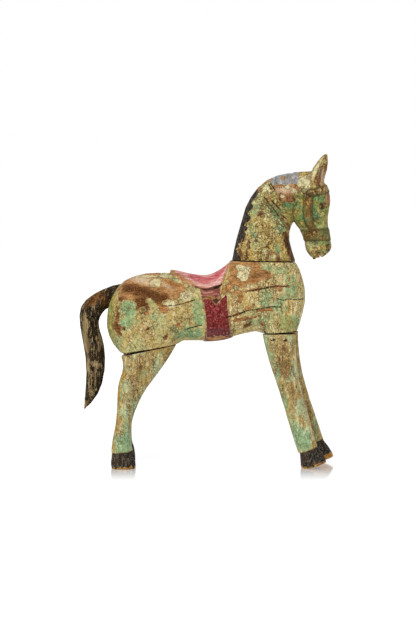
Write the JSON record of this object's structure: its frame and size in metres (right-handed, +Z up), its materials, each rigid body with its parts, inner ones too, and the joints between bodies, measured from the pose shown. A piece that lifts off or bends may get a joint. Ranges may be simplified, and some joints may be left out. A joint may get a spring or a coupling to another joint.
{
  "type": "carousel horse",
  "caption": "Carved wooden carousel horse in worn, crackled paint, standing on its own hooves, with a carved saddle, girth and bridle, upright ears and a long curved tail.",
  "frame": {"origin": "on the floor, under the middle of the bounding box", "axes": "+X towards the head, +Y to the horse's left, +Z up"},
  "size_m": [0.8964, 0.2186, 1.087],
  "materials": {
    "green_paint": "worn and crackled pale green paint over bare wood",
    "black_paint": "worn black paint over bare wood"
  },
  "bodies": {
    "root": {"body": "green_paint", "neck_and_head": "green_paint", "hind_leg_left": "green_paint", "hind_leg_right": "green_paint", "front_leg_left": "green_paint", "front_leg_right": "green_paint", "tail": "black_paint"}
  },
  "joints": []
}
